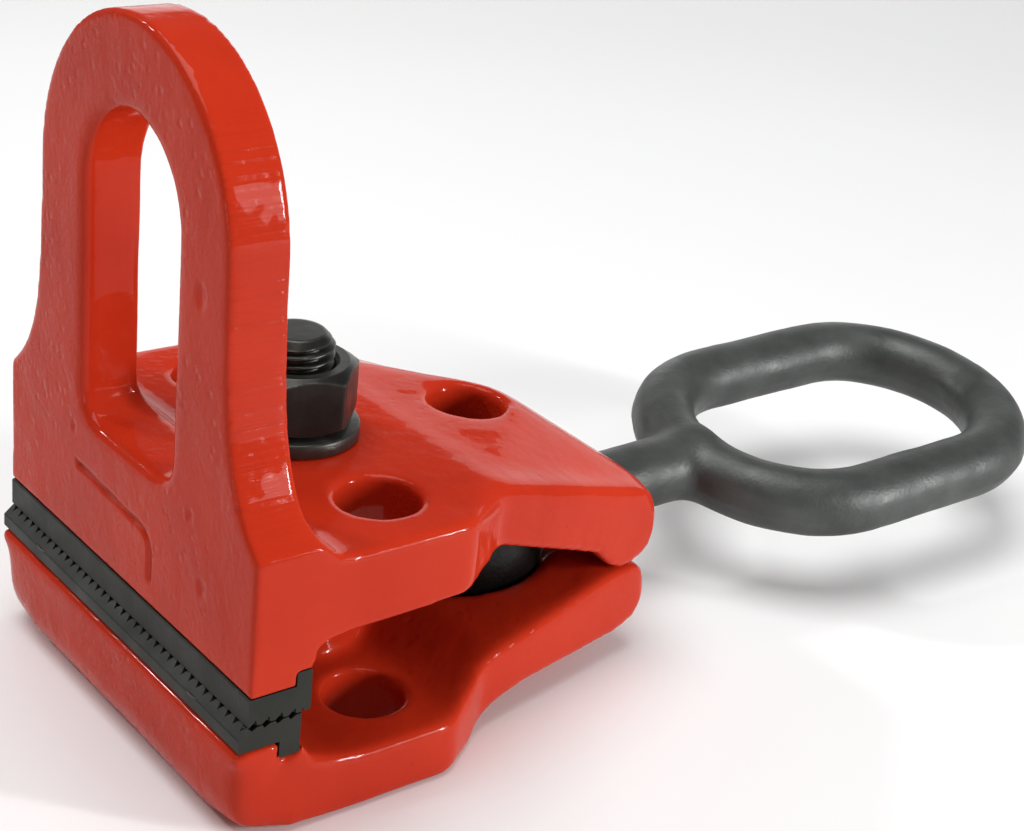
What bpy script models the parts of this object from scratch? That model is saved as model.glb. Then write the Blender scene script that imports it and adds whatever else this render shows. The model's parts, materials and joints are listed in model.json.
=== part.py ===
"""Self-tightening pull clamp: two cast jaws with toothed inserts, a bolt and a swivelling pull ring.

Metres, +Z up. The jaws bite towards -X, the ring pulls towards +X and Y runs across the jaws.
The origin is the centre of the bolt head's underside, level with the lower jaw's underside.
The outlines are drawn from a datum 40 mm behind the loop's front face; set_origin moves the finished
pieces so that the bolt's axis is the origin.
"""

import math

import bmesh
import bpy
from mathutils import Matrix, Vector

MM = 0.001
GAP = 0.3 * MM  # air left between pieces that touch

# Plan of both castings
FRONT_X = -40 * MM
HALF_WIDTH = 50 * MM
EAR_END_X = 13.6 * MM
EAR_CORNER = 7 * MM
NECK_X = 24 * MM
NECK_HALF = 40.2 * MM
TAIL_END_X = 78.6 * MM
TAIL_HALF = 30 * MM
TAIL_CORNER = 4 * MM

# Upper jaw
BITE_TOP_Z = 33 * MM  # top of the upper insert, where the casting starts
PLATE_LOW_Z = 41.8 * MM
PLATE_TOP_Z = 58 * MM
LOOP_THICK = 12.8 * MM
LOOP_CENTRE_Z = 111.3 * MM
LOOP_RADIUS = 36.1 * MM
LOOP_FILLET = 9 * MM  # between the loop's back and the plate
SLOT_HALF = 17.8 * MM
SLOT_LOW_Z = 61.5 * MM
SLOT_CORNER = 6 * MM
SHOULDER_Z = 60 * MM  # where the loop reaches the full width
FLARE = 15.5 * MM  # how far the loop's foot spreads at the shoulder
FLARE_FADE = 10.5 * MM  # the height over which the spread fades to a third
TAIL_BACK = ((NECK_X, PLATE_TOP_Z), (73.5 * MM, 41 * MM), (77 * MM, 38.3 * MM), (78.6 * MM, 35 * MM))
TAIL_TIP = ((78.2 * MM, 30.5 * MM), (76.2 * MM, 26 * MM))

# Lower jaw
LOWER_FRONT_X = -42.6 * MM
FLOOR_Z = 13 * MM  # its inner face
LOWER_SEAT_Z = 21.6 * MM  # under the lower insert
LIP_Z = 23.2 * MM  # the line on which the two tails rock
BOSS_RADIUS = 17 * MM
BOSS_TOP_Z = 20 * MM

# Toothed inserts
INSERT_LENGTH = 13.5 * MM
INSERT_HOOK_Z = 36 * MM
HOOK_LENGTH = 3.3 * MM
BITE_Z = 27.2 * MM  # middle of the teeth at rest
TEETH = 5
TOOTH_DEPTH = 1.3 * MM
LOWER_INSERT_X = -41.9 * MM
LOWER_HOOK_Z = 18.2 * MM
LOWER_HOOK_X = -32.9 * MM
SCREW_Y = 32 * MM
UPPER_SCREW_X = -34.7 * MM
LOWER_SCREW_X = -37.4 * MM
SCREW_RADIUS = 2.5 * MM
SCREW_LENGTH = 14 * MM

# Through holes
HOLE_LINE_X = -1.7 * MM  # the bolt and the ear holes stand in one line across the jaws
EAR_HOLE_RADIUS = 8.6 * MM
EAR_HOLE_Y = 32 * MM
TAIL_HOLE_X = 43.5 * MM

# M16 bolt, washer and nut
BOLT_RADIUS = 7.85 * MM
BOLT_TOP_Z = 80.5 * MM
BOLT_CHAMFER = 2 * MM
HEAD_ACROSS = 24 * MM
HEAD_HEIGHT = 10 * MM
WASHER_RADIUS = 14 * MM
WASHER_THICK = 3 * MM
NUT_HEIGHT = 13 * MM
NUT_TURN = 45.7  # degrees from +X to the nut's first corner
ROCK_TRAVEL = 4.5 * MM  # how far the bolt hole is drawn out for the rocking jaw

# Pull ring with its ball
BALL_CENTRE = Vector((44 * MM, 0, 24.5 * MM))
BALL_RADIUS = 20.4 * MM
SOCKET_RADIUS = 21.2 * MM
BELLY_RADIUS = 24 * MM  # round pad under the socket, down to the jaw's underside
BAR_RADIUS = 8.2 * MM
RING_START = 70.4 * MM  # from the ball's centre to the ring's nearest centre line
RING_LENGTH = 94.8 * MM
RING_HALF = 30.9 * MM
RING_END = 30 * MM  # half length of each rounded end
RING_YAW = math.radians(-1.5)
RING_PITCH = math.radians(-1.5)
RING_ROLL = math.radians(5.4)
NOTCH_HALF = 16.3 * MM
NOTCH_LOW_Z = 15.3 * MM
NOTCH_TOP_Z = 35.3 * MM

RED_PAINT = ("red_enamel", (0.56, 0.055, 0.03, 1), 0.25, 0.0)
DARK_STEEL = ("blackened_steel", (0.03, 0.03, 0.03, 1), 0.42, 0.85)
TOOL_STEEL = ("tool_steel", (0.055, 0.055, 0.05, 1), 0.45, 0.8)
FORGED_STEEL = ("forged_steel", (0.07, 0.072, 0.07, 1), 0.5, 0.75)


def clear_scene():
    for found in list(bpy.data.objects):
        bpy.data.objects.remove(found, do_unlink=True)


def material(finish):
    name, colour, roughness, metallic = finish
    made = bpy.data.materials.get(name) or bpy.data.materials.new(name)
    made.use_nodes = True
    shader = made.node_tree.nodes["Principled BSDF"]
    shader.inputs["Base Color"].default_value = colour
    shader.inputs["Roughness"].default_value = roughness
    shader.inputs["Metallic"].default_value = metallic
    made.diffuse_color = colour
    return made


def add_object(name, shape, finish=None):
    """Links the bmesh as an object; with no finish it is a helper that is never rendered."""
    bmesh.ops.recalc_face_normals(shape, faces=shape.faces)
    mesh = bpy.data.meshes.new(name)
    shape.to_mesh(mesh)
    shape.free()
    made = bpy.data.objects.new(name, mesh)
    bpy.context.scene.collection.objects.link(made)
    if finish is None:
        made.hide_render = True
        made.display_type = "WIRE"
    else:
        mesh.materials.append(material(finish))
        mesh.shade_smooth()
        mesh.set_sharp_from_angle(angle=math.radians(30))
    return made


def boolean(target, other, operation):
    added = target.modifiers.new(f"{operation.lower()}_{other.name}", "BOOLEAN")
    added.operation = operation
    added.solver = "EXACT"
    added.object = other


def arc(centre, radius, start, end, steps):
    """Points on a circle from start to end, in degrees."""
    turns = [math.radians(start + (end - start) * i / steps) for i in range(steps + 1)]
    return [(centre[0] + radius * math.cos(a), centre[1] + radius * math.sin(a)) for a in turns]


def mirrored(half):
    """A closed outline from its half at positive second coordinate, mirrored about the first axis."""
    return half + [(a, -b) for a, b in reversed(half)]


def prism(outline, axis, low, high):
    """The outline extruded along X, Y or Z; its two coordinates are the other axes, in X, Y, Z order."""
    place = {
        "X": lambda a, b, depth: (depth, a, b),
        "Y": lambda a, b, depth: (a, depth, b),
        "Z": lambda a, b, depth: (a, b, depth),
    }[axis]
    shape = bmesh.new()
    rings = [[shape.verts.new(place(a, b, depth)) for a, b in outline] for depth in (low, high)]
    shape.faces.new(rings[0])
    shape.faces.new(list(reversed(rings[1])))
    for i in range(len(outline)):
        j = (i + 1) % len(outline)
        shape.faces.new((rings[0][i], rings[1][i], rings[1][j], rings[0][j]))
    return shape


def turned(profile, steps, centre=(0, 0)):
    """A solid of revolution about a vertical line; the profile is (radius, z) from one end to the other."""
    shape = bmesh.new()
    rows = []
    for radius, z in profile:
        if radius == 0:
            rows.append([shape.verts.new((centre[0], centre[1], z))])
        else:
            ring = arc(centre, radius, 0, 360 - 360 / steps, steps - 1)
            rows.append([shape.verts.new((x, y, z)) for x, y in ring])
    for lower, upper in zip(rows, rows[1:]):
        for i in range(steps):
            j = (i + 1) % steps
            corners = [row[k % len(row)] for row, k in ((lower, i), (lower, j), (upper, j), (upper, i))]
            shape.faces.new(list(dict.fromkeys(corners)))
    for row in (rows[0], rows[-1]):
        if len(row) > 1:
            shape.faces.new(row)
    return shape


def round_cutter(name, x, y, radius, low, high, steps=32):
    return add_object(name, turned([(radius, low), (radius, high)], steps, (x, y)))


def hexagon(across, first_corner=30, centre=(HOLE_LINE_X, 0)):
    return arc(centre, across / math.sqrt(3), first_corner, first_corner + 300, 5)


def plan_half(front_x):
    """Half of the castings' plan: square ears, a curved neck and a narrowing tail."""
    ear_corner = arc((EAR_END_X - EAR_CORNER, HALF_WIDTH - EAR_CORNER), EAR_CORNER, 90, 45, 4)
    rear_corner = arc((TAIL_END_X - TAIL_CORNER, TAIL_HALF - TAIL_CORNER), TAIL_CORNER, 80, 0, 4)
    return (
        [(front_x, HALF_WIDTH)]
        + ear_corner
        + [(EAR_END_X + 5 * MM, 43.4 * MM), (NECK_X - 2 * MM, 40.9 * MM), (NECK_X, NECK_HALF)]
        + rear_corner
    )


def plan_cutter(name, front_x):
    return add_object(name, prism(mirrored(plan_half(front_x)), "Z", -5 * MM, 160 * MM))


def upper_side():
    """The upper jaw from the side: loop, plate, sloping tail, rocking lip, arch and insert seat."""
    rear_face_x = FRONT_X + LOOP_THICK
    top_z = LOOP_CENTRE_Z + LOOP_RADIUS
    insert_rear_x = FRONT_X + INSERT_LENGTH
    hook_x = insert_rear_x - HOOK_LENGTH - GAP
    fillet_centre = (rear_face_x + LOOP_FILLET, PLATE_TOP_Z + LOOP_FILLET)
    front = [(FRONT_X, BITE_TOP_Z + GAP), (FRONT_X, top_z), (rear_face_x, top_z)]
    lip = [(73 * MM, LIP_Z + 0.9 * MM), (69 * MM, LIP_Z + GAP / 2), (66.5 * MM, LIP_Z + GAP / 2)]
    arch = [(62.5 * MM, 25.4 * MM), (57 * MM, 30.5 * MM), (NECK_X, 44 * MM)]
    arch += [(12 * MM, PLATE_LOW_Z + 0.6 * MM), (-22 * MM, PLATE_LOW_Z - 0.6 * MM), (-25.4 * MM, 40.2 * MM)]
    seat = [(insert_rear_x, INSERT_HOOK_Z + GAP), (hook_x, INSERT_HOOK_Z + GAP), (hook_x, BITE_TOP_Z + GAP)]
    fillet = arc(fillet_centre, LOOP_FILLET, 180, 270, 6)
    return front + fillet + list(TAIL_BACK) + list(TAIL_TIP) + lip + arch + seat


def loop_front():
    """The upper jaw seen from the front: a round arch on two legs whose feet spread to the full width."""
    right = arc((0, LOOP_CENTRE_Z), LOOP_RADIUS, 90, 0, 14)
    start_z = LOOP_CENTRE_Z - 12 * MM
    for i in range(10):
        z = start_z - (start_z - SHOULDER_Z) * math.sin(math.radians(10 * i))
        right.append((LOOP_RADIUS + FLARE * math.exp((SHOULDER_Z - z) / FLARE_FADE), z))
    right += [(HALF_WIDTH + 5 * MM, SHOULDER_Z - 2 * MM), (HALF_WIDTH + 5 * MM, 0)]
    return right + [(-y, z) for y, z in reversed(right[1:])]


def loop_slot():
    """A tall slot with a round top and rounded lower corners."""
    right = arc((0, LOOP_CENTRE_Z), SLOT_HALF, 90, 0, 10)
    right += arc((SLOT_HALF - SLOT_CORNER, SLOT_LOW_Z + SLOT_CORNER), SLOT_CORNER, 0, -90, 4)
    return right + [(-y, z) for y, z in reversed(right[1:])]


def make_upper_jaw():
    """The loop, the ears and the sloping tail are one casting, cut from three crossed outlines."""
    jaw = add_object("upper_jaw", prism(upper_side(), "Y", -HALF_WIDTH, HALF_WIDTH), RED_PAINT)
    boolean(jaw, plan_cutter("upper_plan", FRONT_X - 5 * MM), "INTERSECT")
    boolean(jaw, add_object("loop_outline", prism(loop_front(), "X", -60 * MM, 100 * MM)), "INTERSECT")
    boolean(jaw, add_object("tail_hump", tail_hump()), "UNION")
    slot_cutter = prism(loop_slot(), "X", FRONT_X - 5 * MM, FRONT_X + 2 * LOOP_THICK)
    boolean(jaw, add_object("loop_slot", slot_cutter), "DIFFERENCE")
    low, high = PLATE_LOW_Z - 7 * MM, PLATE_TOP_Z + 4 * MM
    tapping_radius = SCREW_RADIUS + GAP
    for number, sign in ((1, 1), (2, -1)):
        ear_hole = round_cutter(
            f"upper_ear_hole_{number}", HOLE_LINE_X, sign * EAR_HOLE_Y, EAR_HOLE_RADIUS, low, high
        )
        boolean(jaw, ear_hole, "DIFFERENCE")
        tapping = round_cutter(
            f"upper_tapping_{number}", UPPER_SCREW_X, sign * SCREW_Y, tapping_radius, 20 * MM, 46 * MM, 12
        )
        boolean(jaw, tapping, "DIFFERENCE")
    boolean(jaw, round_cutter("tail_hole", TAIL_HOLE_X, 0, EAR_HOLE_RADIUS, low, high), "DIFFERENCE")
    radius = BOLT_RADIUS + 0.85 * MM
    bolt_hole = arc((HOLE_LINE_X, 0), radius, 90, -90, 10)
    bolt_hole += arc((HOLE_LINE_X - ROCK_TRAVEL, 0), radius, 270, 90, 10)
    boolean(jaw, add_object("upper_bolt_hole", prism(bolt_hole, "Z", low, high)), "DIFFERENCE")
    boolean(jaw, bpy.data.objects["ball_socket"], "DIFFERENCE")
    boolean(jaw, bpy.data.objects["shank_notch"], "DIFFERENCE")


def tail_hump():
    """The raised back of the tail over the ball: level round its hole and falling away behind."""
    shape = bmesh.new()
    for x, y in arc((TAIL_HOLE_X - 0.5 * MM, 0), 11 * MM, 0, 337.5, 15):
        shape.verts.new((x, y, 57 * MM - 0.05 * (x - 30 * MM)))
    for sign in (1, -1):
        shape.verts.new((26 * MM, sign * 33 * MM, 57.3 * MM))
        shape.verts.new((76.6 * MM, sign * 25 * MM, 40 * MM))
        shape.verts.new((76.6 * MM, sign * 25 * MM, 37 * MM))
        shape.verts.new((26 * MM, sign * 33 * MM, 50 * MM))
    hull = bmesh.ops.convex_hull(shape, input=shape.verts)
    inner = {part for part in hull["geom_interior"] if isinstance(part, bmesh.types.BMVert)}
    bmesh.ops.delete(shape, geom=list(inner), context="VERTS")
    return shape


def make_shared_cutters():
    """The ball's socket and the notch for the ring's shank, each half of it in one casting."""
    socket = bmesh.new()
    at = Matrix.Translation(BALL_CENTRE)
    bmesh.ops.create_uvsphere(socket, u_segments=32, v_segments=20, radius=SOCKET_RADIUS, matrix=at)
    add_object("ball_socket", socket)
    radius = (NOTCH_TOP_Z - NOTCH_LOW_Z) / 2
    middle_z = (NOTCH_TOP_Z + NOTCH_LOW_Z) / 2
    ends = arc((NOTCH_HALF - radius, middle_z), radius, -90, 90, 8)
    outline = ends + [(-y, z) for y, z in reversed(ends)]
    add_object("shank_notch", prism(outline, "X", BALL_CENTRE.x, 90 * MM))


def lower_side():
    """The lower jaw from the side: insert seat with its groove, floor, ramp, lip and underside."""
    groove_front_x = -33.2 * MM
    groove_rear_x = -28.1 * MM
    groove_z = LOWER_HOOK_Z - GAP
    seat = [(LOWER_FRONT_X, 7 * MM), (LOWER_FRONT_X, LOWER_SEAT_Z), (groove_front_x, LOWER_SEAT_Z)]
    seat += [(groove_front_x, groove_z), (groove_rear_x, groove_z)]
    seat += [(groove_rear_x + GAP, groove_z + 1.5 * MM)]
    floor = [(-25.4 * MM, 16 * MM), (-19 * MM, 13.8 * MM), (-12 * MM, FLOOR_Z), (9 * MM, FLOOR_Z)]
    ramp = [(26 * MM, 18.2 * MM), (48 * MM, 21 * MM)]
    lip = [(61 * MM, LIP_Z - GAP / 2), (71 * MM, LIP_Z - GAP / 2)]
    tip = [(75.3 * MM, 20.6 * MM), (77 * MM, 16 * MM), (76.8 * MM, 11 * MM), (74 * MM, 7.6 * MM)]
    underside = [(68 * MM, 6.2 * MM), (38 * MM, 6 * MM), (28 * MM, 4.6 * MM), (18 * MM, 0)]
    underside += [(LOWER_FRONT_X + 7 * MM, 0), (LOWER_FRONT_X + 2 * MM, 2 * MM)]
    return seat + floor + ramp + lip + tip + underside


def make_lower_jaw():
    jaw = add_object("lower_jaw", prism(lower_side(), "Y", -HALF_WIDTH, HALF_WIDTH), RED_PAINT)
    boolean(jaw, plan_cutter("lower_plan", LOWER_FRONT_X - 5 * MM), "INTERSECT")
    boss = round_cutter("bolt_boss", HOLE_LINE_X, 0, BOSS_RADIUS, FLOOR_Z - 8 * MM, BOSS_TOP_Z)
    boolean(jaw, boss, "UNION")
    belly = round_cutter("belly", BALL_CENTRE.x, 0, BELLY_RADIUS, 0, 9 * MM)
    boolean(jaw, belly, "UNION")
    low, high = -3 * MM, BOSS_TOP_Z + 5 * MM
    tapping_radius = SCREW_RADIUS + GAP
    for number, sign in ((1, 1), (2, -1)):
        ear_hole = round_cutter(
            f"lower_ear_hole_{number}", HOLE_LINE_X, sign * EAR_HOLE_Y, EAR_HOLE_RADIUS, low, high
        )
        boolean(jaw, ear_hole, "DIFFERENCE")
        tapping = round_cutter(
            f"lower_tapping_{number}", LOWER_SCREW_X, sign * SCREW_Y, tapping_radius, 8.5 * MM, 30 * MM, 12
        )
        boolean(jaw, tapping, "DIFFERENCE")
    bolt_hole = round_cutter("lower_bolt_hole", HOLE_LINE_X, 0, BOLT_RADIUS + 0.45 * MM, low, high)
    boolean(jaw, bolt_hole, "DIFFERENCE")
    pocket = prism(hexagon(HEAD_ACROSS + 2 * GAP), "Z", low, HEAD_HEIGHT + GAP)
    boolean(jaw, add_object("head_pocket", pocket), "DIFFERENCE")
    boolean(jaw, bpy.data.objects["ball_socket"], "DIFFERENCE")
    boolean(jaw, bpy.data.objects["shank_notch"], "DIFFERENCE")


def tooth_line(front_x, base_z, down):
    """The toothed edge of an insert from front to rear: a steep face and a sloping one for each tooth."""
    pitch = INSERT_LENGTH / TEETH
    points = []
    for i in range(TEETH):
        x = front_x + pitch * i
        points.append((x, base_z + down * TOOTH_DEPTH / 2))
        points.append((x + 0.25 * pitch, base_z - down * TOOTH_DEPTH / 2))
    points.append((front_x + INSERT_LENGTH, base_z + down * TOOTH_DEPTH / 2))
    return points


def make_insert(name, outline, screw_x, low_z, high_z, cone):
    """The outline drawn out across the jaw, with a countersunk hole at each end."""
    insert = add_object(name, prism(outline, "Y", GAP - HALF_WIDTH, HALF_WIDTH - GAP), TOOL_STEEL)
    radius = SCREW_RADIUS + GAP
    head_radius = 2 * SCREW_RADIUS
    for number, sign in ((1, 1), (2, -1)):
        profile = [(radius, low_z), (radius, cone[0]), (head_radius, cone[1]), (head_radius, high_z)]
        cutter = turned(profile, 20, (screw_x, sign * SCREW_Y))
        boolean(insert, add_object(f"{name}_countersink_{number}", cutter), "DIFFERENCE")


def make_inserts():
    rear_x = FRONT_X + INSERT_LENGTH
    hook_x = rear_x - HOOK_LENGTH
    upper = tooth_line(FRONT_X, BITE_Z + 0.55 * MM, -1)
    upper += [(rear_x, INSERT_HOOK_Z), (hook_x, INSERT_HOOK_Z), (hook_x, BITE_TOP_Z), (FRONT_X, BITE_TOP_Z)]
    make_insert("upper_insert", upper, UPPER_SCREW_X, 38 * MM, 20 * MM, (31.6 * MM, 29.4 * MM))

    rear_x = LOWER_INSERT_X + INSERT_LENGTH
    seat_z = LOWER_SEAT_Z + GAP
    lower = [(LOWER_INSERT_X, 24.6 * MM)] + tooth_line(LOWER_INSERT_X, BITE_Z - 0.95 * MM, -1)[2:]
    lower += [(rear_x, LOWER_HOOK_Z), (LOWER_HOOK_X, LOWER_HOOK_Z), (LOWER_HOOK_X, seat_z)]
    lower += [(LOWER_INSERT_X, seat_z)]
    make_insert("lower_insert", lower, LOWER_SCREW_X, 10 * MM, 35 * MM, (22.8 * MM, 25 * MM))


def make_insert_screws():
    """Two countersunk socket screws hold each insert, their heads sunk below the teeth."""
    head_radius = 2 * SCREW_RADIUS - GAP
    pairs = (("upper", UPPER_SCREW_X, 29.1 * MM, 1), ("lower", LOWER_SCREW_X, 25.1 * MM, -1))
    for insert, x, head_z, up in pairs:
        end_z = head_z + up * SCREW_LENGTH
        profile = [(0, head_z), (head_radius, head_z), (head_radius, head_z + up * GAP)]
        profile += [(SCREW_RADIUS, head_z + up * 2.5 * MM), (SCREW_RADIUS, end_z), (0, end_z)]
        low, high = sorted((head_z - up * MM, head_z + up * 1.8 * MM))
        for number, sign in ((1, 1), (2, -1)):
            at = (x, sign * SCREW_Y)
            screw = add_object(f"{insert}_insert_screw_{number}", turned(profile, 20, at), DARK_STEEL)
            socket = prism(hexagon(3 * MM, centre=at), "Z", low, high)
            boolean(screw, add_object(f"{insert}_key_{number}", socket), "DIFFERENCE")


def make_bolt():
    bolt = add_object("bolt", prism(hexagon(HEAD_ACROSS), "Z", 0, HEAD_HEIGHT), DARK_STEEL)
    end_radius = BOLT_RADIUS - BOLT_CHAMFER
    chamfer_z = BOLT_TOP_Z - BOLT_CHAMFER
    profile = [(BOLT_RADIUS, HEAD_HEIGHT / 2), (BOLT_RADIUS, chamfer_z), (end_radius, BOLT_TOP_Z)]
    boolean(bolt, add_object("bolt_shank", turned(profile, 32, (HOLE_LINE_X, 0))), "UNION")


def make_washer():
    low = PLATE_TOP_Z + GAP
    disc = turned([(WASHER_RADIUS, low), (WASHER_RADIUS, low + WASHER_THICK)], 40, (HOLE_LINE_X, 0))
    washer = add_object("washer", disc, DARK_STEEL)
    hole_radius = BOLT_RADIUS + 0.65 * MM
    hole = round_cutter("washer_hole", HOLE_LINE_X, 0, hole_radius, low - MM, low + 2 * WASHER_THICK)
    boolean(washer, hole, "DIFFERENCE")


def make_nut():
    """A hexagon whose corners are turned away at both ends."""
    low = PLATE_TOP_Z + WASHER_THICK + 2 * GAP
    high = low + NUT_HEIGHT
    nut = add_object("nut", prism(hexagon(HEAD_ACROSS, NUT_TURN), "Z", low, high), DARK_STEEL)
    face = HEAD_ACROSS / 2 - 0.9 * MM
    corner = HEAD_ACROSS / math.sqrt(3) + 0.2 * MM
    drop = 1.9 * MM
    profile = [(face, low), (corner, low + drop), (corner, high - drop), (face, high)]
    boolean(nut, add_object("nut_chamfer", turned(profile, 48, (HOLE_LINE_X, 0))), "INTERSECT")
    thread = round_cutter("nut_thread", HOLE_LINE_X, 0, BOLT_RADIUS + GAP, low - MM, high + MM)
    boolean(nut, thread, "DIFFERENCE")


def ring_centre_line(steps):
    """The eye's centre line in its own plane: straight sides between two half ellipses, from 0 on."""
    half = steps // 2
    line = []
    for middle_x, start in ((RING_LENGTH - RING_END, -0.5), (RING_END, 0.5)):
        for i in range(half + 1):
            a = math.pi * (i / half + start)
            line.append((RING_START + middle_x + RING_END * math.cos(a), RING_HALF * math.sin(a)))
    return line


def swept_loop(points, radius, sides):
    """A round bar that follows the closed flat line of points, shut on itself."""
    shape = bmesh.new()
    count = len(points)
    upward = Vector((0, 0, 1))
    rows = []
    for i, (x, y) in enumerate(points):
        before = Vector(points[i - 1])
        after = Vector(points[(i + 1) % count])
        along = (after - before).normalized()
        outward = Vector((along.y, -along.x, 0))
        row = []
        for k in range(sides):
            turn = 2 * math.pi * k / sides
            offset = radius * (math.cos(turn) * outward + math.sin(turn) * upward)
            row.append(shape.verts.new(Vector((x, y, 0)) + offset))
        rows.append(row)
    for i in range(count):
        m = (i + 1) % count
        for k in range(sides):
            n = (k + 1) % sides
            shape.faces.new((rows[i][k], rows[i][n], rows[m][n], rows[m][k]))
    return shape


def make_pull_ring():
    """One forging: a ball, its shank and the eye. It is modelled about the ball's centre."""
    ring = add_object("pull_ring", swept_loop(ring_centre_line(28), BAR_RADIUS, 14), FORGED_STEEL)
    shank_profile = [(BAR_RADIUS, 10 * MM), (BAR_RADIUS, 60 * MM), (BAR_RADIUS + 3 * MM, RING_START - MM)]
    shank = turned(shank_profile, 20)
    bmesh.ops.rotate(shank, verts=shank.verts, matrix=Matrix.Rotation(math.pi / 2, 3, "Y"))
    flattened = Matrix.Diagonal((1, 1, 0.9, 1))
    bmesh.ops.transform(shank, verts=[v for v in shank.verts if v.co.x > 65 * MM], matrix=flattened)
    ball = bmesh.new()
    bmesh.ops.create_uvsphere(ball, u_segments=28, v_segments=16, radius=BALL_RADIUS)
    pitched = Matrix.Rotation(RING_PITCH, 4, "Y") @ Matrix.Rotation(RING_ROLL, 4, "X")
    place = Matrix.Translation(BALL_CENTRE) @ Matrix.Rotation(RING_YAW, 4, "Z") @ pitched
    ring.matrix_world = place
    for name, shape in (("ring_shank", shank), ("ring_ball", ball)):
        piece = add_object(name, shape)
        piece.matrix_world = place
        boolean(ring, piece, "UNION")


def set_origin():
    for piece in bpy.data.objects:
        piece.location.x -= HOLE_LINE_X


clear_scene()
make_shared_cutters()
make_upper_jaw()
make_lower_jaw()
make_inserts()
make_insert_screws()
make_bolt()
make_washer()
make_nut()
make_pull_ring()
set_origin()
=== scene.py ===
"""Looks of the self-tightening pull clamp: cast red jaws, toothed inserts, threaded bolt and forged ring."""

import math

import bmesh
import bpy
import numpy as np
from mathutils import Matrix, Vector, noise
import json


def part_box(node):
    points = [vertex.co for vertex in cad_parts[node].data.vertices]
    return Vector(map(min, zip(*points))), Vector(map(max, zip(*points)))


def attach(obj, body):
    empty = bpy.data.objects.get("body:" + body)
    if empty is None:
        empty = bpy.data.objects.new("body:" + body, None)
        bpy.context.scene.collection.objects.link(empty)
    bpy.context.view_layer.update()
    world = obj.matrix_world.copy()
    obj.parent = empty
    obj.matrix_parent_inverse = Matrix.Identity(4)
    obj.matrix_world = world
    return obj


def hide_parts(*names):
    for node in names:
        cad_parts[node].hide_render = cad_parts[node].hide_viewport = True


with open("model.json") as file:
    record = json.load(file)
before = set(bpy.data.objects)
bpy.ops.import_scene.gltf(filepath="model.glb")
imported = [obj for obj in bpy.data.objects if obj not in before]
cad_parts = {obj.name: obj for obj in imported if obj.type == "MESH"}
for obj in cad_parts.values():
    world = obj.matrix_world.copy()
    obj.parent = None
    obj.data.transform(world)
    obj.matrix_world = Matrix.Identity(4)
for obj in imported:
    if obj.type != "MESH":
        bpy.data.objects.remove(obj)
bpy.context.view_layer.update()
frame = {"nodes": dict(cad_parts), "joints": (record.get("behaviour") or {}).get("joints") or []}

MM = 0.001
RING_JOINT = next(joint for joint in frame["joints"] if joint["name"] == "ring_swivel")
BALL_CENTRE = Vector(RING_JOINT["pos_m"])


# Shapes -----------------------------------------------------------------------------------------


def add_object(name, shape, smooth=True):
    bmesh.ops.recalc_face_normals(shape, faces=shape.faces)
    mesh = bpy.data.meshes.new(name)
    shape.to_mesh(mesh)
    shape.free()
    made = bpy.data.objects.new(name, mesh)
    bpy.context.scene.collection.objects.link(made)
    if smooth:
        mesh.shade_smooth()
    return made


def give_material(piece, look):
    piece.data.materials.clear()
    piece.data.materials.append(look)


def finish_piece(piece, body, node, look):
    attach(piece, body)
    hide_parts(node)
    give_material(piece, look)


def copy_of_node(name, node):
    """A new piece with the CAD node's shape, made in world space."""
    source = frame["nodes"][node]
    mesh = source.data.copy()
    mesh.transform(source.matrix_world)
    made = bpy.data.objects.new(name, mesh)
    bpy.context.scene.collection.objects.link(made)
    return made


def weld(piece):
    """Joins the points that the CAD's triangles share."""
    shape = bmesh.new()
    shape.from_mesh(piece.data)
    bmesh.ops.remove_doubles(shape, verts=shape.verts, dist=0.01 * MM)
    shape.to_mesh(piece.data)
    shape.free()


def remesh(piece, voxel):
    """Replaces the mesh by an even one of the given voxel size."""
    added = piece.modifiers.new("remesh", "REMESH")
    added.mode = "VOXEL"
    added.voxel_size = voxel
    added.adaptivity = 0
    graph = bpy.context.evaluated_depsgraph_get()
    done = bpy.data.meshes.new_from_object(piece.evaluated_get(graph))
    piece.modifiers.clear()
    piece.data = done


def polar_row(shape, z, sides, radius_at):
    """A closed row of points round Z at height z; radius_at(angle) is their distance from the axis."""
    row = []
    for i in range(sides):
        angle = 2 * math.pi * i / sides
        radius = radius_at(angle)
        row.append(shape.verts.new((radius * math.cos(angle), radius * math.sin(angle), z)))
    return row


def join_rows(shape, rows, closed=False):
    """Fills the faces between each closed row of points and the next; closed joins the last to the first."""
    for one, two in zip(rows, rows[1:] + rows[:1] if closed else rows[1:]):
        for i in range(len(one)):
            j = (i + 1) % len(one)
            shape.faces.new((one[i], one[j], two[j], two[i]))


def read_points(mesh):
    points = np.empty(len(mesh.vertices) * 3)
    mesh.vertices.foreach_get("co", points)
    return points.reshape(-1, 3)


def read_normals(mesh):
    normals = np.empty(len(mesh.vertices) * 3)
    mesh.vertex_normals.foreach_get("vector", normals)
    return normals.reshape(-1, 3)


def write_points(mesh, points):
    mesh.vertices.foreach_set("co", points.reshape(-1).astype(np.float32))
    mesh.update()


def push_out(mesh, amount):
    """Moves each point along its normal by amount(points), in metres."""
    points = read_points(mesh)
    normals = read_normals(mesh)
    write_points(mesh, points + normals * amount(points)[:, None])


def keep_inside(mesh, low, high):
    points = read_points(mesh)
    write_points(mesh, np.clip(points, np.array(low), np.array(high)))


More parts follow.
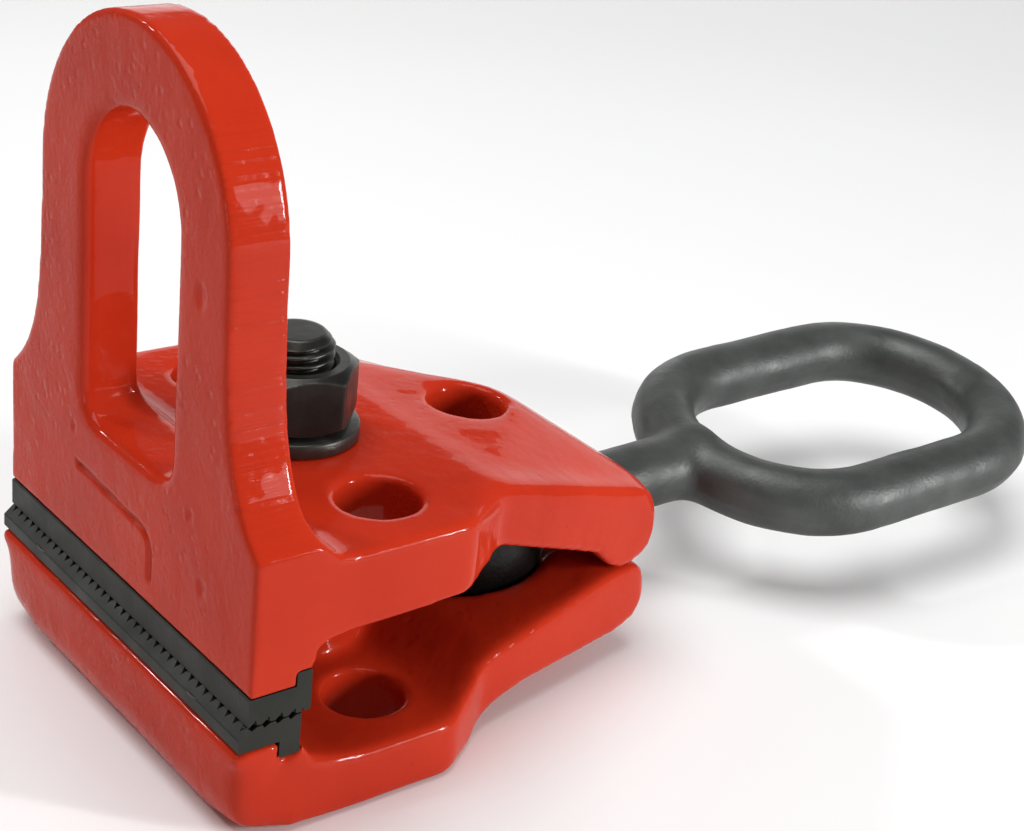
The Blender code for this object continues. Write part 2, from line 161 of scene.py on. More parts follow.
def soften(mesh, rounds, weight):
    """Rounds edges: each round moves a point up to halfway to its neighbours' mean, as its weight allows."""
    points = read_points(mesh)
    edges = np.empty(len(mesh.edges) * 2, np.int32)
    mesh.edges.foreach_get("vertices", edges)
    first, second = edges.reshape(-1, 2).T
    count = np.bincount(edges, minlength=len(points))[:, None]
    share = (0.5 * weight(points))[:, None]
    for _ in range(rounds):
        total = np.empty_like(points)
        for k in range(3):
            total[:, k] = np.bincount(first, points[second, k], len(points))
            total[:, k] += np.bincount(second, points[first, k], len(points))
        points = points + share * (total / count - points)
    write_points(mesh, points)


def ramp(values, low, high):
    """0 below low and 1 above high, smooth between them."""
    t = np.clip((values - low) / (high - low), 0, 1)
    return t * t * (3 - 2 * t)


def fade(values, low, high):
    """1 below low and 0 above high, smooth between them."""
    return 1 - ramp(values, low, high)


def hills(points, layers, seed):
    """The sum of layers of noise, each given by the size of its hills and their height."""
    amount = np.zeros(len(points))
    shift = Vector((seed, seed * 2, 7.3))
    for size, height in layers:
        values = [noise.noise(Vector(p) / size + shift) for p in points]
        amount += height * np.array(values)
    return amount


# Materials --------------------------------------------------------------------------------------


class Look:
    """A node material, built a node at a time."""

    def __init__(self, name, **sockets):
        self.material = bpy.data.materials.new(name)
        self.material.use_nodes = True
        self.nodes = self.material.node_tree.nodes
        self.links = self.material.node_tree.links
        self.shader = self.nodes["Principled BSDF"]
        for socket, value in sockets.items():
            self.shader.inputs[socket.replace("_", " ")].default_value = value
        self.position = self.nodes.new("ShaderNodeTexCoord").outputs["Object"]

    def node(self, kind, inputs=None, **settings):
        made = self.nodes.new(kind)
        for key, value in settings.items():
            setattr(made, key, value)
        for key, value in (inputs or {}).items():
            if isinstance(value, bpy.types.NodeSocket):
                self.links.new(value, made.inputs[key])
            else:
                made.inputs[key].default_value = value
        return made

    def noise(self, per_metre, detail=3.0, roughness=0.5, stretch=(1, 1, 1)):
        moved = self.node("ShaderNodeMapping", {"Vector": self.position, "Scale": stretch})
        made = self.node(
            "ShaderNodeTexNoise",
            {"Vector": moved.outputs[0], "Scale": per_metre, "Detail": detail, "Roughness": roughness},
        )
        return made.outputs["Fac"]

    def cells(self, per_metre):
        made = self.node("ShaderNodeTexVoronoi", {"Vector": self.position, "Scale": per_metre})
        return made.outputs["Distance"]

    def to_range(self, value, from_low, from_high, to_low, to_high):
        names = ("Value", "From Min", "From Max", "To Min", "To Max")
        values = (value, from_low, from_high, to_low, to_high)
        return self.node("ShaderNodeMapRange", dict(zip(names, values))).outputs[0]

    def geometry(self, output):
        return self.node("ShaderNodeNewGeometry").outputs[output]

    def part(self, vector, axis):
        return self.node("ShaderNodeSeparateXYZ", {"Vector": vector}).outputs[axis]

    def math(self, operation, a, b=0.0):
        return self.node("ShaderNodeMath", {0: a, 1: b}, operation=operation).outputs[0]

    def times(self, *factors):
        product = factors[0]
        for factor in factors[1:]:
            product = self.math("MULTIPLY", product, factor)
        return product

    def colours(self, value, *stops):
        made = self.node("ShaderNodeValToRGB", {"Fac": value})
        ramp_stops = made.color_ramp.elements
        while len(ramp_stops) < len(stops):
            ramp_stops.new(0.5)
        for stop, (at, colour) in zip(ramp_stops, stops):
            stop.position = at
            stop.color = (*colour, 1)
        return made.outputs["Color"]

    def mix(self, factor, a, colour):
        made = self.node("ShaderNodeMix", {0: factor, 6: a, 7: (*colour, 1)}, data_type="RGBA")
        return made.outputs[2]

    def bump(self, height, distance, strength, under=None):
        inputs = {"Height": height, "Distance": distance, "Strength": strength}
        if under is not None:
            inputs["Normal"] = under
        return self.node("ShaderNodeBump", inputs).outputs["Normal"]

    def set(self, socket, value):
        self.links.new(value, self.shader.inputs[socket])


DEEP_RED, RED, BRIGHT_RED = (0.42, 0.022, 0.007), (0.50, 0.029, 0.009), (0.54, 0.036, 0.011)
# The last of these, a deep red laid into concave creases, is painted shade.
SPECK_RED, THIN_RED, CREASE_SHADE_RED = (0.10, 0.010, 0.008), (0.62, 0.055, 0.018), (0.20, 0.010, 0.007)


def ground_band(look):
    """1 on the loop's two ground sides, above the shoulders and outside the slot."""
    side = look.to_range(look.math("ABSOLUTE", look.part(look.geometry("Normal"), "Y")), 0.60, 0.75, 0.0, 1.0)
    high = look.to_range(look.part(look.position, "Z"), 56 * MM, 62 * MM, 0.0, 1.0)
    outer = look.to_range(look.math("ABSOLUTE", look.part(look.position, "Y")), 22 * MM, 27 * MM, 0.0, 1.0)
    return look.times(side, high, outer)


def red_enamel(name, ground_lines):
    """Thick glossy enamel over a pitted cast skin; ground_lines adds grinding marks to the loop's sides."""
    look = Look(name, Metallic=0.0, Coat_Weight=0.22, Coat_Roughness=0.025, Specular_IOR_Level=0.02)
    red = look.colours(look.noise(28, 4), (0.25, DEEP_RED), (0.55, RED), (0.85, BRIGHT_RED))
    specks = look.to_range(look.cells(260), 0.0, 0.16, 1.0, 0.0)
    rare = look.to_range(look.noise(70, 2), 0.66, 0.74, 0.0, 1.0)
    red = look.mix(look.times(specks, rare, 0.7), red, SPECK_RED)
    edge = look.geometry("Pointiness")
    red = look.mix(look.to_range(edge, 0.535, 0.60, 0.0, 0.35), red, THIN_RED)
    # Painted shade: concave creases, found by low pointiness, are darkened towards a deep red.
    red = look.mix(look.to_range(edge, 0.478, 0.440, 0.0, 0.75), red, CREASE_SHADE_RED)
    look.set("Base Color", red)
    look.set("Roughness", look.to_range(look.noise(60, 3), 0.3, 0.7, 0.09, 0.18))
    front = look.to_range(look.part(look.geometry("Normal"), "X"), -0.7, -0.9, 0.25, 1.0)
    skin = look.bump(look.times(look.noise(700, 3, 0.6), front), 0.30 * MM, 0.7)
    skin = look.bump(look.noise(150, 2), 0.5 * MM, 0.45, skin)
    pits = look.to_range(look.cells(330), 0.0, 0.35, 0.0, 1.0)
    some = look.to_range(look.noise(45, 2), 0.46, 0.62, 0.0, 1.0)
    skin = look.bump(look.times(pits, some, front), 0.30 * MM, 0.9, skin)
    if ground_lines:
        fine = look.noise(1.0, 1, 0.5, stretch=(5, 5, 820))
        wide = look.noise(1.0, 0, 0.5, stretch=(4, 4, 300))
        skin = look.bump(look.times(look.math("ADD", fine, wide), ground_band(look)), 0.60 * MM, 0.9, skin)
    look.set("Normal", skin)
    return look.material


def dark_metal(name, dark, light, metallic, roughness, grain, bump, painted_shade_below_x=None, gloss=0.5, worn=0.8):
    """Blackened or phosphated steel: mottled, with rubbed edges and a fine grain, and painted near-black
    shade below a given x.

    roughness is (lowest, highest), grain is in grains per metre and bump is their height.
    """
    look = Look(name, Metallic=metallic, Specular_IOR_Level=gloss)
    colour = look.colours(look.noise(55, 5, 0.6), (0.3, dark), (0.7, light))
    edge = look.geometry("Pointiness")
    rubbed = look.times(look.to_range(edge, 0.517, 0.575, 0.0, worn), look.noise(300, 2))
    colour = look.mix(rubbed, colour, [min(1, 4.5 * c) for c in light])
    if painted_shade_below_x is not None:
        # Painted shade: below the given x, on the ball and shank that sit between the jaws, the colour goes
        # near black.
        painted_shade_mask = look.to_range(look.part(look.position, "X"), painted_shade_below_x, painted_shade_below_x + 12 * MM, 1.0, 0.0)
        colour = look.mix(painted_shade_mask, colour, (0.004, 0.004, 0.0035))
    look.set("Base Color", colour)
    look.set("Roughness", look.to_range(look.noise(120, 4), 0.3, 0.7, *roughness))
    skin = look.bump(look.noise(grain, 4, 0.6), bump, 0.6)
    skin = look.bump(look.noise(grain / 6, 2), bump * 2, 0.4, skin)
    look.set("Normal", skin)
    return look.material


def floor_look():
    look = Look("pale_floor", Roughness=0.6)
    white = look.colours(look.noise(3, 3), (0.3, (0.92, 0.92, 0.92)), (0.7, (0.95, 0.95, 0.95)))
    look.set("Base Color", white)
    return look.material


# Castings ---------------------------------------------------------------------------------------

CAST_VOXEL = 0.7 * MM
CAST_SKIN = ((11 * MM, 0.10 * MM), (3.0 * MM, 0.035 * MM))  # waves and pimples, as (size, height)
FRONT_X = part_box("upper_jaw")[0][0]
SLOT_HALF = 17.8 * MM
SLOT_TOP_Z = 111.3 * MM  # where the slot's round top starts
SLOT_LOW_Z = 61.5 * MM
PLATE_TOP_Z = 58 * MM
EAR_HOLES = ((0.0, 32 * MM), (0.0, -32 * MM))
EAR_RIM = 10.5 * MM  # radius within which a hole's rim stays crisp
TAIL_HOLES = ((45.2 * MM, 0.0),)
TAIL_RIM = 10 * MM
TAIL_SLOPE = 0.36  # how fast the tail's back falls, behind the hump

# Blank frame pressed into the loop's foot: its corner's centre, its ends and its groove
FRAME_CORNER_Y, FRAME_CORNER_Z, FRAME_RADIUS = -6.8 * MM, 44.5 * MM, 4.3 * MM
FRAME_END_Y, FRAME_END_Z = 19.5 * MM, 38.5 * MM
FRAME_SLOPE = 0.065
FRAME_DEPTH = 0.75 * MM

# Knocks in the loop's front face, as (y, z, radius, depth)
DENTS = (
    (-27 * MM, 104 * MM, 2.2 * MM, 0.5 * MM),
    (-26 * MM, 60 * MM, 1.2 * MM, 0.4 * MM),
    (21 * MM, 58 * MM, 1.0 * MM, 0.35 * MM),
    (-31 * MM, 47 * MM, 1.6 * MM, 0.4 * MM),
)


def seat_weight(points, low_z, high_z):
    """Keeps the machined seat of an insert sharp: a low weight in its band, from the front to the hook."""
    x, z = points[:, 0], points[:, 2]
    band = ramp(z, low_z - 3 * MM, low_z) * fade(z, high_z, high_z + 3 * MM)
    return 1 - 0.93 * fade(x, -24.8 * MM, -20.8 * MM) * band


def near_holes(points, holes, radius):
    """1 within the radius of the given upright holes' axes, fading to 0 in 3 mm."""
    nearest = np.full(len(points), 1.0)
    for x, y in holes:
        nearest = np.minimum(nearest, np.hypot(points[:, 0] - x, points[:, 1] - y))
    return fade(nearest, radius, radius + 3 * MM)


def slot_distance(points):
    """How far a point lies outside the slot's outline, across the loop's front."""
    _, y, z = points.T
    round_top = np.hypot(y, np.maximum(z - SLOT_TOP_Z, 0)) - SLOT_HALF
    return np.maximum(round_top, SLOT_LOW_Z - z)


def upper_jaw_weight(points):
    """Crisp loop, soft ears and tail, and a full round on the slot's front rim."""
    x, y, z = points.T
    soft = ramp(x, -24 * MM, -18 * MM) * fade(z, 60 * MM, 70 * MM)
    rim = fade(np.abs(slot_distance(points)), 4.5 * MM, 8.0 * MM)
    front_rim = rim * fade(x, FRONT_X + 6 * MM, FRONT_X + 9 * MM)
    plate = ramp(z, 48 * MM, 52 * MM) * ramp(x, -18 * MM, -12 * MM)
    plate *= fade(z, PLATE_TOP_Z + 0.5 * MM, PLATE_TOP_Z + 2 * MM)
    plate *= fade(np.abs(y), 40 * MM, 45 * MM)
    weight = 0.16 + 0.38 * soft + 0.80 * front_rim + 0.25 * rim + 0.4 * plate
    weight *= 1 - 0.70 * near_holes(points, EAR_HOLES, EAR_RIM)
    return np.clip(weight, 0, 1) * seat_weight(points, 30 * MM, 38 * MM)


def tail_weight(points):
    """The tail's back, where the hump runs out softly into the slope and the plate."""
    x, _, z = points.T
    top = ramp(z - 60 * MM + TAIL_SLOPE * np.maximum(x - 26 * MM, 0), -9 * MM, -4 * MM)
    return 0.95 * top * ramp(x, 12 * MM, 20 * MM) * (1 - 0.8 * near_holes(points, TAIL_HOLES, TAIL_RIM))


def lower_jaw_weight(points):
    """Full rounds all over, except at the seat, the holes and the lip on which the tails rock."""
    x, _, z = points.T
    lip = ramp(x, 60 * MM, 66 * MM) * ramp(z, 19 * MM, 22 * MM)
    weight = 1 - 0.75 * near_holes(points, EAR_HOLES, EAR_RIM) - 0.5 * lip
    brow = 0.55 * fade(x, -39.2 * MM, -38.2 * MM) * ramp(z, 14.5 * MM, 17.5 * MM)
    return np.maximum(np.clip(weight, 0, 1) * seat_weight(points, 17.5 * MM, 22.5 * MM), brow)


def lower_corner_weight(points):
    """The lower jaw's two upright front corners, broad rounds below the insert."""
    x, y, z = points.T
    corner = ramp(np.abs(y) - 0.8 * (x + 41 * MM), 35 * MM, 41 * MM)
    return corner * fade(x, -31 * MM, -27 * MM) * fade(z, 16.5 * MM, 19.5 * MM)


def lower_foot_weight(points):
    """The lower jaw's front bottom edges, which are rounder still."""
    front = 1 - 0.85 * ramp(points[:, 0], -30 * MM, -16 * MM)
    return front * fade(points[:, 2], 5 * MM, 12 * MM) * (1 - near_holes(points, EAR_HOLES, EAR_RIM))


def outside(values, low, high):
    """How far the values lie outside low to high, ten times over, to end a groove there."""
    return 10 * (np.maximum(low - values, 0) + np.maximum(values - high, 0))


def frame_groove(points):
    """Minus the depth of the blank frame: its sloping top edge, one round corner and one side."""
    x, y, z = points.T
    across, up = y - FRAME_CORNER_Y, z - FRAME_CORNER_Z
    top = np.abs(up - FRAME_RADIUS - FRAME_SLOPE * across) + outside(y, FRAME_CORNER_Y, FRAME_END_Y)
    side = np.abs(across + FRAME_RADIUS) + outside(z, FRAME_END_Z, FRAME_CORNER_Z)
    corner = np.abs(np.hypot(across, up) - FRAME_RADIUS) + 10 * (np.maximum(across, 0) + np.maximum(-up, 0))
    distance = np.minimum(np.minimum(top, side), corner)
    return -FRAME_DEPTH * fade(distance, 0.3 * MM, 0.9 * MM) * (x < FRONT_X + 2 * MM)


def front_dents(points):
    """Minus the depth of the knocks, which are taller than wide."""
    x, y, z = points.T
    depth = np.zeros(len(points))
    for at_y, at_z, radius, deep in DENTS:
        distance = np.hypot(y - at_y, 0.6 * (z - at_z)) / radius
        depth += deep * fade(distance, 0.2, 1.0) * (x < FRONT_X + 2 * MM)
    return -depth


def make_casting(name, node, look, passes, marks, seed):
    """A jaw from its CAD node: rounded in passes of (rounds, weight), marked, and given a cast skin."""
    piece = copy_of_node(name, node)
    weld(piece)
    remesh(piece, CAST_VOXEL)
    for rounds, weight in passes:
        soften(piece.data, rounds, weight)
    for mark in marks:
        push_out(piece.data, mark)
    main_weight = passes[0][1]
    push_out(piece.data, lambda p: hills(p, CAST_SKIN, seed) * np.clip(main_weight(p) * 3, 0.05, 1))
    keep_inside(piece.data, *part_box(node))
    piece.data.shade_smooth()
    finish_piece(piece, node, node, look)


# Inserts ----------------------------------------------------------------------------------------

TOOTH_PITCH = 2.82 * MM
TEETH = 4
CUT_PITCH = 2.75 * MM
CUT_WIDTH = 1.5 * MM
CUT_DEPTH = 1.0 * MM
CUT_STEPS = 12  # sections in one pitch
FACE_STEPS = 6  # points along the lower insert's chamfer
BEVEL = 0.3 * MM
LOWER_SEAT_Z = 21.9 * MM
LOWER_HOOK_X = -31.2 * MM
UPPER_SEAT_Z = 33 * MM
HOOK_LENGTH = 3.3 * MM
FACE_TOP_Z = 24.95 * MM  # where the lower insert's chamfer starts
FACE_BEVEL = 0.12 * MM
CREST = 2.3 * MM  # from the lower insert's front to the crest behind its chamfer


def cut_depth(y):
    """How deep the cross cut is at y: narrow V grooves, one a pitch."""
    away = abs((y / CUT_PITCH) % 1.0 - 0.5) * CUT_PITCH
    return CUT_DEPTH * max(0.0, 1 - away / (CUT_WIDTH / 2))


def loft_across(name, y_low, y_high, section):
    """Joins the closed sections drawn at each y; section(y) always gives as many (x, z) points."""
    shape = bmesh.new()
    steps = round((y_high - y_low) / CUT_PITCH * CUT_STEPS)
    rows = []
    for i in range(steps + 1):
        y = y_low + (y_high - y_low) * i / steps
        rows.append([shape.verts.new((x, y, z)) for x, z in section(y)])
    join_rows(shape, rows)
    shape.faces.new(rows[0])
    shape.faces.new(list(reversed(rows[-1])))
    return add_object(name, shape, smooth=False)


def make_lower_insert(look):
    """A bar with a broad chamfer in front, low teeth cut across by V grooves, and a hook down behind."""
    low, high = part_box("lower_insert")
    front, rear, low_z, top_z = low[0], high[0], low[2], high[2]
    crest = front + CREST

    def section(y):
        limit = top_z - cut_depth(y)
        face = front + FACE_BEVEL
        line = [(front, LOWER_SEAT_Z + BEVEL), (front, FACE_TOP_Z - 0.2 * MM), (face, FACE_TOP_Z)]
        for i in range(1, FACE_STEPS + 1):
            rise = (top_z - 0.1 * MM - FACE_TOP_Z) * i / FACE_STEPS
            line.append((face + CREST * i / (FACE_STEPS + 0.4), FACE_TOP_Z + rise))
        for i in range(TEETH):
            start = crest + TOOTH_PITCH * i
            for along, below in ((0.14, 0.75), (0.45, 0.30), (0.55, 0.12), (0.96, 0.04)):
                line.append((start + along * TOOTH_PITCH, top_z - below * MM))
        line = [(x, min(z, limit) if x > front + 0.5 * MM else z) for x, z in line]
        line += [(rear, min(limit, top_z - BEVEL)), (rear, low_z + BEVEL), (rear - BEVEL, low_z)]
        line += [(LOWER_HOOK_X + BEVEL, low_z), (LOWER_HOOK_X, low_z + BEVEL), (LOWER_HOOK_X, LOWER_SEAT_Z)]
        return line + [(front + BEVEL, LOWER_SEAT_Z)]

    piece = loft_across("lower_toothed_insert", low[1], high[1], section)
    finish_piece(piece, "lower_jaw", "lower_insert", look)


def make_upper_insert(look):
    """A plain-faced bar with saw teeth underneath, cut across by V grooves, and a hook up behind."""
    low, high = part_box("upper_insert")
    front, rear, bite_z, high_z = low[0], high[0], low[2], high[2]
    hook_x = rear - HOOK_LENGTH
    first = front + 0.25 * MM

    def section(y):
        limit = bite_z + cut_depth(y)
        teeth = []
        for i in range(TEETH):
            start = first + TOOTH_PITCH * i
            for along, above in ((0.0, 0.0), (0.50, 1.25), (0.60, 0.1), (0.96, 0.0)):
                teeth.append((start + along * TOOTH_PITCH, bite_z + above * MM))
        teeth += [(rear - 1.7 * MM, bite_z + 0.9 * MM), (rear - 1.5 * MM, bite_z + 0.05 * MM)]
        line = [(front, bite_z + 0.15 * MM)]
        line += [(x, max(z, limit) if x > front + 0.6 * MM else z) for x, z in teeth]
        line += [(rear, max(limit, bite_z + 0.2 * MM)), (rear, high_z - BEVEL), (rear - BEVEL, high_z)]
        line += [(hook_x + BEVEL, high_z), (hook_x, high_z - BEVEL), (hook_x, UPPER_SEAT_Z)]
        return line + [(front + BEVEL, UPPER_SEAT_Z), (front, UPPER_SEAT_Z - BEVEL)]

    piece = loft_across("upper_toothed_insert", low[1], high[1], section)
    finish_piece(piece, "upper_jaw", "upper_insert", look)


# Bolt, washer and nut ---------------------------------------------------------------------------

THREAD_PITCH = 2 * MM
THREAD_RADIUS = 7.95 * MM
THREAD_DEPTH = 1.18 * MM
THREAD_ROOT = 0.09  # half the root's width, as a share of the pitch
THREAD_FLANK = 0.32  # the flank's width, as a share of the pitch
THREAD_BEND = 1.15  # bows the flanks slightly outwards
THREAD_LOW_Z = 40 * MM
BOLT_SIDES = 56
CHAMFER_RADIUS = 5.95 * MM  # of the bolt's end
CHAMFER_SLOPE = 0.98
END_SCALE = 0.88  # of the bolt's flat end, inside its chamfer
FOOT_SCALE = 0.94  # of the head's bevelled foot
ACROSS = 24 * MM  # across the flats of the head and the nut
HEAD_HIGH_Z = 10 * MM
NUT_TURN = math.radians(45.7)
NUT_SIDES = 120
NUT_BORE = 8.15 * MM
NUT_SINK = 0.9 * MM  # countersink of the nut's thread
NUT_GROOVE = 0.5 * MM  # depth of the plain grooves that stand for the thread inside
NUT_LEVELS = [0.2 * k * MM for k in range(11)]  # heights of the turned corners' rows, from each end
WASHER_SIDES = 96
WASHER_BORE = 8.6 * MM
WASHER_EDGE = 0.45 * MM

# Edges sharper than these aren't shaded smooth
BOLT_SHARP, NUT_SHARP, WASHER_SHARP = math.radians(50), math.radians(24), math.radians(40)


def thread_radius(z, angle):
    """An M16 thread's surface: flat crests and roots, climbing one pitch a turn."""
    phase = (z / THREAD_PITCH - angle / (2 * math.pi)) % 1.0
    rise = min(1.0, max(0.0, (abs(phase - 0.5) - THREAD_ROOT) / THREAD_FLANK))
    return THREAD_RADIUS - THREAD_DEPTH * (1 - rise) ** THREAD_BEND


def hexagon(shape, z, scale=1.0):
    """The corners of the bolt's head at height z."""
    corner = scale * ACROSS / math.sqrt(3)
    turns = [math.radians(30 + 60 * i) for i in range(6)]
    return [shape.verts.new((corner * math.cos(turn), corner * math.sin(turn), z)) for turn in turns]


def make_bolt(look):
    """A hexagon head with a bevelled foot, a plain shank, and a thread with a chamfered end."""
    low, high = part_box("bolt")
    end = high[2]

    def radius(z, angle):
        if z < THREAD_LOW_Z:
            return THREAD_RADIUS
        return min(thread_radius(z, angle), CHAMFER_RADIUS + (end - z) * CHAMFER_SLOPE)

    heights = [9 * MM, 20 * MM, 30 * MM, 38 * MM]
    heights += [*np.arange(THREAD_LOW_Z, end - 0.1 * MM, THREAD_PITCH / 9), end - 0.02 * MM]
    shape = bmesh.new()
    rows = [polar_row(shape, z, BOLT_SIDES, lambda angle: radius(z, angle)) for z in heights]
    top = [shape.verts.new((v.co.x * END_SCALE, v.co.y * END_SCALE, end)) for v in rows[-1]]
    join_rows(shape, rows + [top])
    bevel_z = low[2] + 0.6 * MM
    head = [hexagon(shape, low[2], FOOT_SCALE), hexagon(shape, bevel_z), hexagon(shape, HEAD_HIGH_Z)]
    join_rows(shape, head)
    for cap in (rows[0], top, head[0], head[-1]):
        shape.faces.new(cap)
    piece = add_object("threaded_bolt", shape)
    piece.data.set_sharp_from_angle(angle=BOLT_SHARP)
    finish_piece(piece, "lower_jaw", "bolt", look)


def make_nut(look):
    """A hexagon whose top and bottom corners are turned away, with a countersunk thread."""
    low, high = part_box("nut")
    total = high[2] - low[2]
    widest = ACROSS / math.sqrt(3) - 0.12 * MM
    face = ACROSS / 2 - 0.95 * MM  # radius of the round faces at both ends
    slope = 1 / math.tan(math.radians(32))

    def radius(level, angle):
        from_flat = (angle - NUT_TURN + math.pi / 3) % (math.pi / 3) - math.pi / 6
        turned = face + min(level, total - level) * slope
        return min((ACROSS / 2) / math.cos(from_flat), turned, widest)

    def row(level, radius_at):
        return polar_row(shape, low[2] + level, NUT_SIDES, radius_at)

    shape = bmesh.new()
    levels = NUT_LEVELS + [total - level for level in reversed(NUT_LEVELS)]
    rows = [row(level, lambda angle: radius(level, angle)) for level in levels]
    inner = [(NUT_BORE + NUT_SINK, total), (NUT_BORE, total - NUT_SINK)]
    level = total - NUT_SINK
    while level > 1.2 * MM:
        level -= THREAD_PITCH / 2
        inner.append((NUT_BORE + (NUT_GROOVE if len(inner) % 2 else 0.0), level))
    inner.append((NUT_BORE + NUT_SINK, 0.0))
    rows += [row(level, lambda angle: bore) for bore, level in inner]
    join_rows(shape, rows, closed=True)
    piece = add_object("hexagon_nut", shape)
    piece.data.set_sharp_from_angle(angle=NUT_SHARP)
    finish_piece(piece, "nut", "nut", look)


def make_washer(look):
    """A washer turned about Z, with a round outer edge on top."""
    low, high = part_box("washer")
    outer, z_low, z_high, edge = high[0], low[2], high[2], WASHER_EDGE
    profile = [(outer - 0.2 * MM, z_low), (outer, z_low + 0.25 * MM), (outer, z_high - 1.1 * edge)]
    profile += [(outer - 0.4 * edge, z_high - 0.4 * edge), (outer - 1.1 * edge, z_high)]
    profile += [(WASHER_BORE + 0.2 * MM, z_high), (WASHER_BORE, z_high - 0.2 * MM), (WASHER_BORE, z_low)]
    shape = bmesh.new()
    rows = [polar_row(shape, z, WASHER_SIDES, lambda angle: radius) for radius, z in profile]
    join_rows(shape, rows, closed=True)
    piece = add_object("plain_washer", shape)
    piece.data.set_sharp_from_angle(angle=WASHER_SHARP)
    finish_piece(piece, "washer", "washer", look)


# Pull ring --------------------------------------------------------------------------------------

RING_START = 70.4 * MM  # from the ball's centre to the ring's nearest centre line
RING_LENGTH = 94.8 * MM
RING_HALF = 30.9 * MM
RING_END = 30 * MM  # half length of each rounded end
BAR_RADIUS = 8.2 * MM
BAR_SIDES = 32
BALL_RADIUS = 20.4 * MM
RING_YAW = math.radians(-1.5)
RING_PITCH = math.radians(-1.5)
RING_ROLL = math.radians(5.4)
RING_VOXEL = 0.8 * MM
FORGED_SKIN = ((11 * MM, 0.20 * MM), (3.5 * MM, 0.05 * MM))
RING_STEPS = 120
SHANK = ((8, 8.2), (40, 8.2), (55, 8.3), (62, 8.7), (67, 9.8), (72, 11.5), (75, 11.5))  # (x, radius), mm
SHANK_FLAT = 0.22  # how much flatter than wide the shank gets
FLASH_Z = -1 * MM  # the faint line where the forging's dies met
FLASH_HEIGHT = 0.16 * MM


def ring_line(steps):
    """The ring's centre line: its far end, then its near end, joined by straight sides."""
    half = steps // 2
    line = []
    for middle, turned in ((RING_START + RING_LENGTH - RING_END, -0.5), (RING_START + RING_END, 0.5)):
        for i in range(half + 1):
            angle = math.pi * (i / half + turned)
            line.append(Vector((middle + RING_END * math.cos(angle), RING_HALF * math.sin(angle), 0)))
    return line


def bar_row(shape, centre, across, up):
    """A closed oval row of points round centre, from the half widths across and up."""
    turns = [2 * math.pi * k / BAR_SIDES for k in range(BAR_SIDES)]
    return [shape.verts.new(centre + math.cos(turn) * across + math.sin(turn) * up) for turn in turns]


def blend_weight(points):
    """Full where the shank runs into the eye and into the ball, little elsewhere."""
    x, y, _ = points.T
    joint = np.exp(-(((x - RING_START) / (16 * MM)) ** 2) - (y / (22 * MM)) ** 2)
    neck = np.exp(-(((x - 19 * MM) / (6 * MM)) ** 2))
    return np.clip(0.15 + joint + 0.6 * neck, 0, 1)


def flash_line(points):
    near = np.exp(-((points[:, 2] - FLASH_Z) / (0.7 * MM)) ** 2)
    return FLASH_HEIGHT * near * ramp(points[:, 0], 30 * MM, 50 * MM)


def make_pull_ring(look):
    """The ball, the shank and the eye as one forging, blended where the shank runs into the eye."""
    shape = bmesh.new()
    line = ring_line(RING_STEPS)
    rows = []
    for i, centre in enumerate(line):
        along = (line[(i + 1) % len(line)] - line[i - 1]).normalized()
        out = Vector((along.y, -along.x, 0))
        rows.append(bar_row(shape, centre, BAR_RADIUS * out, Vector((0, 0, BAR_RADIUS))))
    join_rows(shape, rows, closed=True)
    shank = []
    for x, radius in SHANK:
        flat = 1 - SHANK_FLAT * max(0, (x - 58) / 17)
        across, up = Vector((0, radius * MM, 0)), Vector((0, 0, flat * radius * MM))
        shank.append(bar_row(shape, Vector((x * MM, 0, 0)), across, up))
    join_rows(shape, shank)
    shape.faces.new(shank[0])
    shape.faces.new(shank[-1])
    bmesh.ops.create_uvsphere(shape, u_segments=64, v_segments=40, radius=BALL_RADIUS)
    piece = add_object("forged_pull_ring", shape)
    remesh(piece, RING_VOXEL)
    soften(piece.data, 40, blend_weight)
    push_out(piece.data, flash_line)
    push_out(piece.data, lambda p: hills(p, FORGED_SKIN, 3.0))
    turned_to = Matrix.Translation(BALL_CENTRE)
    for angle, axis in ((RING_YAW, "Z"), (RING_PITCH, "Y"), (RING_ROLL, "X")):
        turned_to = turned_to @ Matrix.Rotation(angle, 4, axis)
    piece.data.transform(turned_to)
    keep_inside(piece.data, *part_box("pull_ring"))
    piece.data.shade_smooth()
    finish_piece(piece, "pull_ring", "pull_ring", look)


# Stage ------------------------------------------------------------------------------------------


def make_stage():
    shape = bmesh.new()
    bmesh.ops.create_grid(shape, x_segments=4, y_segments=4, size=6)
    floor = add_object("floor", shape)
    floor.location = (0.08, 0, 0)
    give_material(floor, floor_look())
    world = bpy.data.worlds.new("studio")
    world.use_nodes = True
    background = world.node_tree.nodes["Background"]
    background.inputs["Color"].default_value = (1.0, 1.0, 1.0, 1)
    background.inputs["Strength"].default_value = 0.18
    bpy.context.scene.world = world


def add_light(name, at, aim, size, power):
    data = bpy.data.lights.new(name, "AREA")
    data.shape = "RECTANGLE"
    data.size, data.size_y = size
    data.energy = power
    light = bpy.data.objects.new(name, data)
    light.location = at
    light.rotation_mode = "QUATERNION"
    light.rotation_quaternion = (Vector(aim) - Vector(at)).to_track_quat("-Z", "Y")
    bpy.context.scene.collection.objects.link(light)


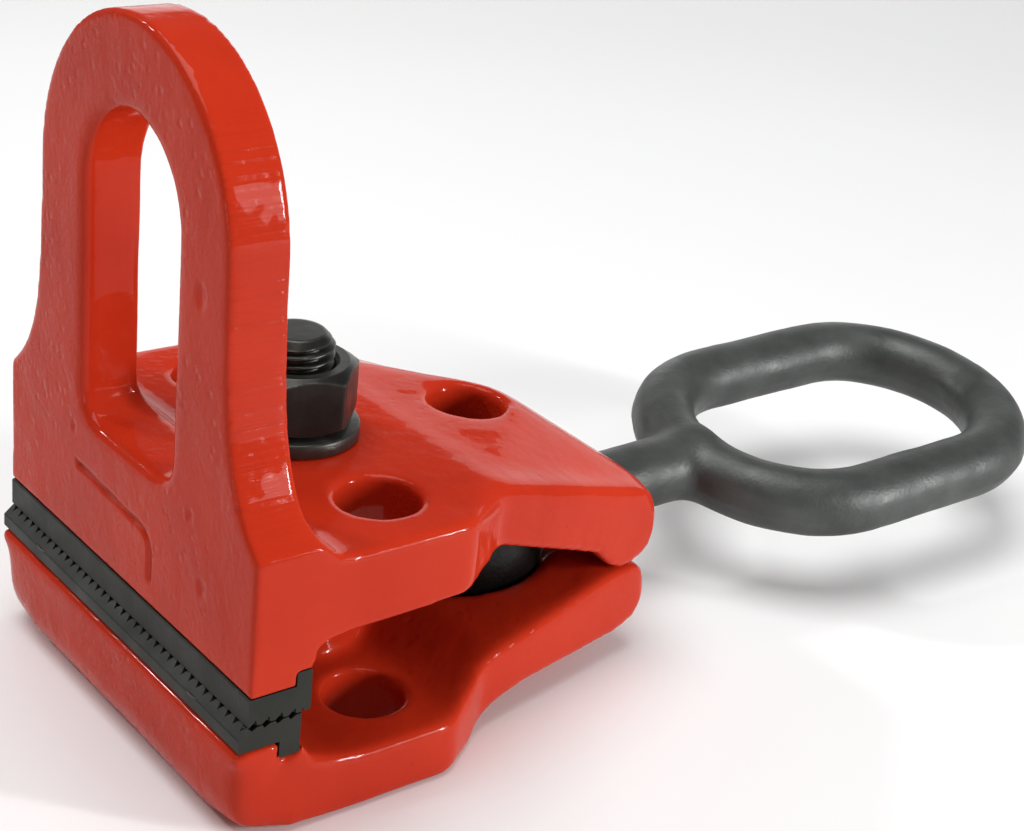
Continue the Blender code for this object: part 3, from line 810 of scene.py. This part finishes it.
def add_camera():
    """The photograph's viewpoint: in front of the jaws, to their right and above, slightly rolled."""
    place = Vector((-0.20505, -0.31175, 0.2370))
    forward = Vector((0.5867, 0.694, -0.4173)).normalized()
    roll = math.radians(6.25)
    level_right = forward.cross(Vector((0, 0, 1))).normalized()
    level_up = level_right.cross(forward)
    right = math.cos(roll) * level_right + math.sin(roll) * level_up
    up = right.cross(forward)
    data = bpy.data.cameras.new("camera")
    data.lens = 70.5
    data.sensor_width = 36
    data.clip_start = 0.01
    camera = bpy.data.objects.new("camera", data)
    axes = Matrix((right, up, -forward)).transposed()
    camera.matrix_world = Matrix.Translation(place) @ axes.to_4x4()
    bpy.context.scene.collection.objects.link(camera)
    bpy.context.scene.camera = camera
    bpy.context.scene.view_settings.view_transform = "Standard"


# The clamp --------------------------------------------------------------------------------------

add_camera()
make_stage()

# Each light's name, place, aim, size and power
for light in (
    ("key_card", (0.72, -0.98, 0.36), (0.03, 0, 0.05), (0.34, 0.40), 2.6),
    ("key_strip", (0.70, -0.955, 0.352), (0.03, 0, 0.05), (0.075, 0.34), 8.2),
    ("top", (-0.1, 0.1, 1.1), (0.02, 0, 0.04), (0.8, 0.8), 9.0),
    ("back_card", (0.9, 0.9, 0.30), (0.05, 0, 0.04), (1.2, 0.5), 2.2),
    ("left_card", (-0.42, 0.72, 0.60), (-0.03, 0, 0.04), (0.08, 0.08), 2.2),
    ("front_fill", (-1.0, -0.35, 0.08), (0, 0, 0.0), (0.5, 0.12), 0.7),
):
    add_light(*light)

RED_LOOP = red_enamel("red_enamel_upper", True)
RED_BASE = red_enamel("red_enamel_lower", False)
BLACK = dark_metal(
    "black_oxide", (0.016, 0.016, 0.014), (0.040, 0.040, 0.036),
    metallic=0.75, roughness=(0.28, 0.46), grain=900, bump=0.06 * MM,
)
TOOL = dark_metal(
    "tool_steel_black", (0.015, 0.016, 0.013), (0.026, 0.027, 0.022),
    metallic=0.1, roughness=(0.40, 0.55), grain=1400, bump=0.08 * MM, gloss=0.22, worn=0.0,
)
# Below x = 68 mm, its ball and shank, the forging is painted near black as the shade between the jaws.
FORGED = dark_metal(
    "phosphated_forging", (0.046, 0.050, 0.047), (0.090, 0.097, 0.092),
    metallic=0.45, roughness=(0.38, 0.54), grain=1100, bump=0.16 * MM, painted_shade_below_x=68 * MM,
)

UPPER_PASSES = ((22, upper_jaw_weight), (46, tail_weight))
LOWER_PASSES = ((26, lower_jaw_weight), (44, lower_foot_weight), (130, lower_corner_weight))
make_casting("upper_casting", "upper_jaw", RED_LOOP, UPPER_PASSES, (frame_groove, front_dents), 1.0)
make_casting("lower_casting", "lower_jaw", RED_BASE, LOWER_PASSES, (), 2.0)
make_upper_insert(TOOL)
make_lower_insert(TOOL)
make_bolt(BLACK)
make_nut(BLACK)
make_washer(BLACK)
make_pull_ring(FORGED)
for node_name, node_object in frame["nodes"].items():
    if "screw" in node_name:
        give_material(node_object, BLACK)

bpy.context.view_layer.update()
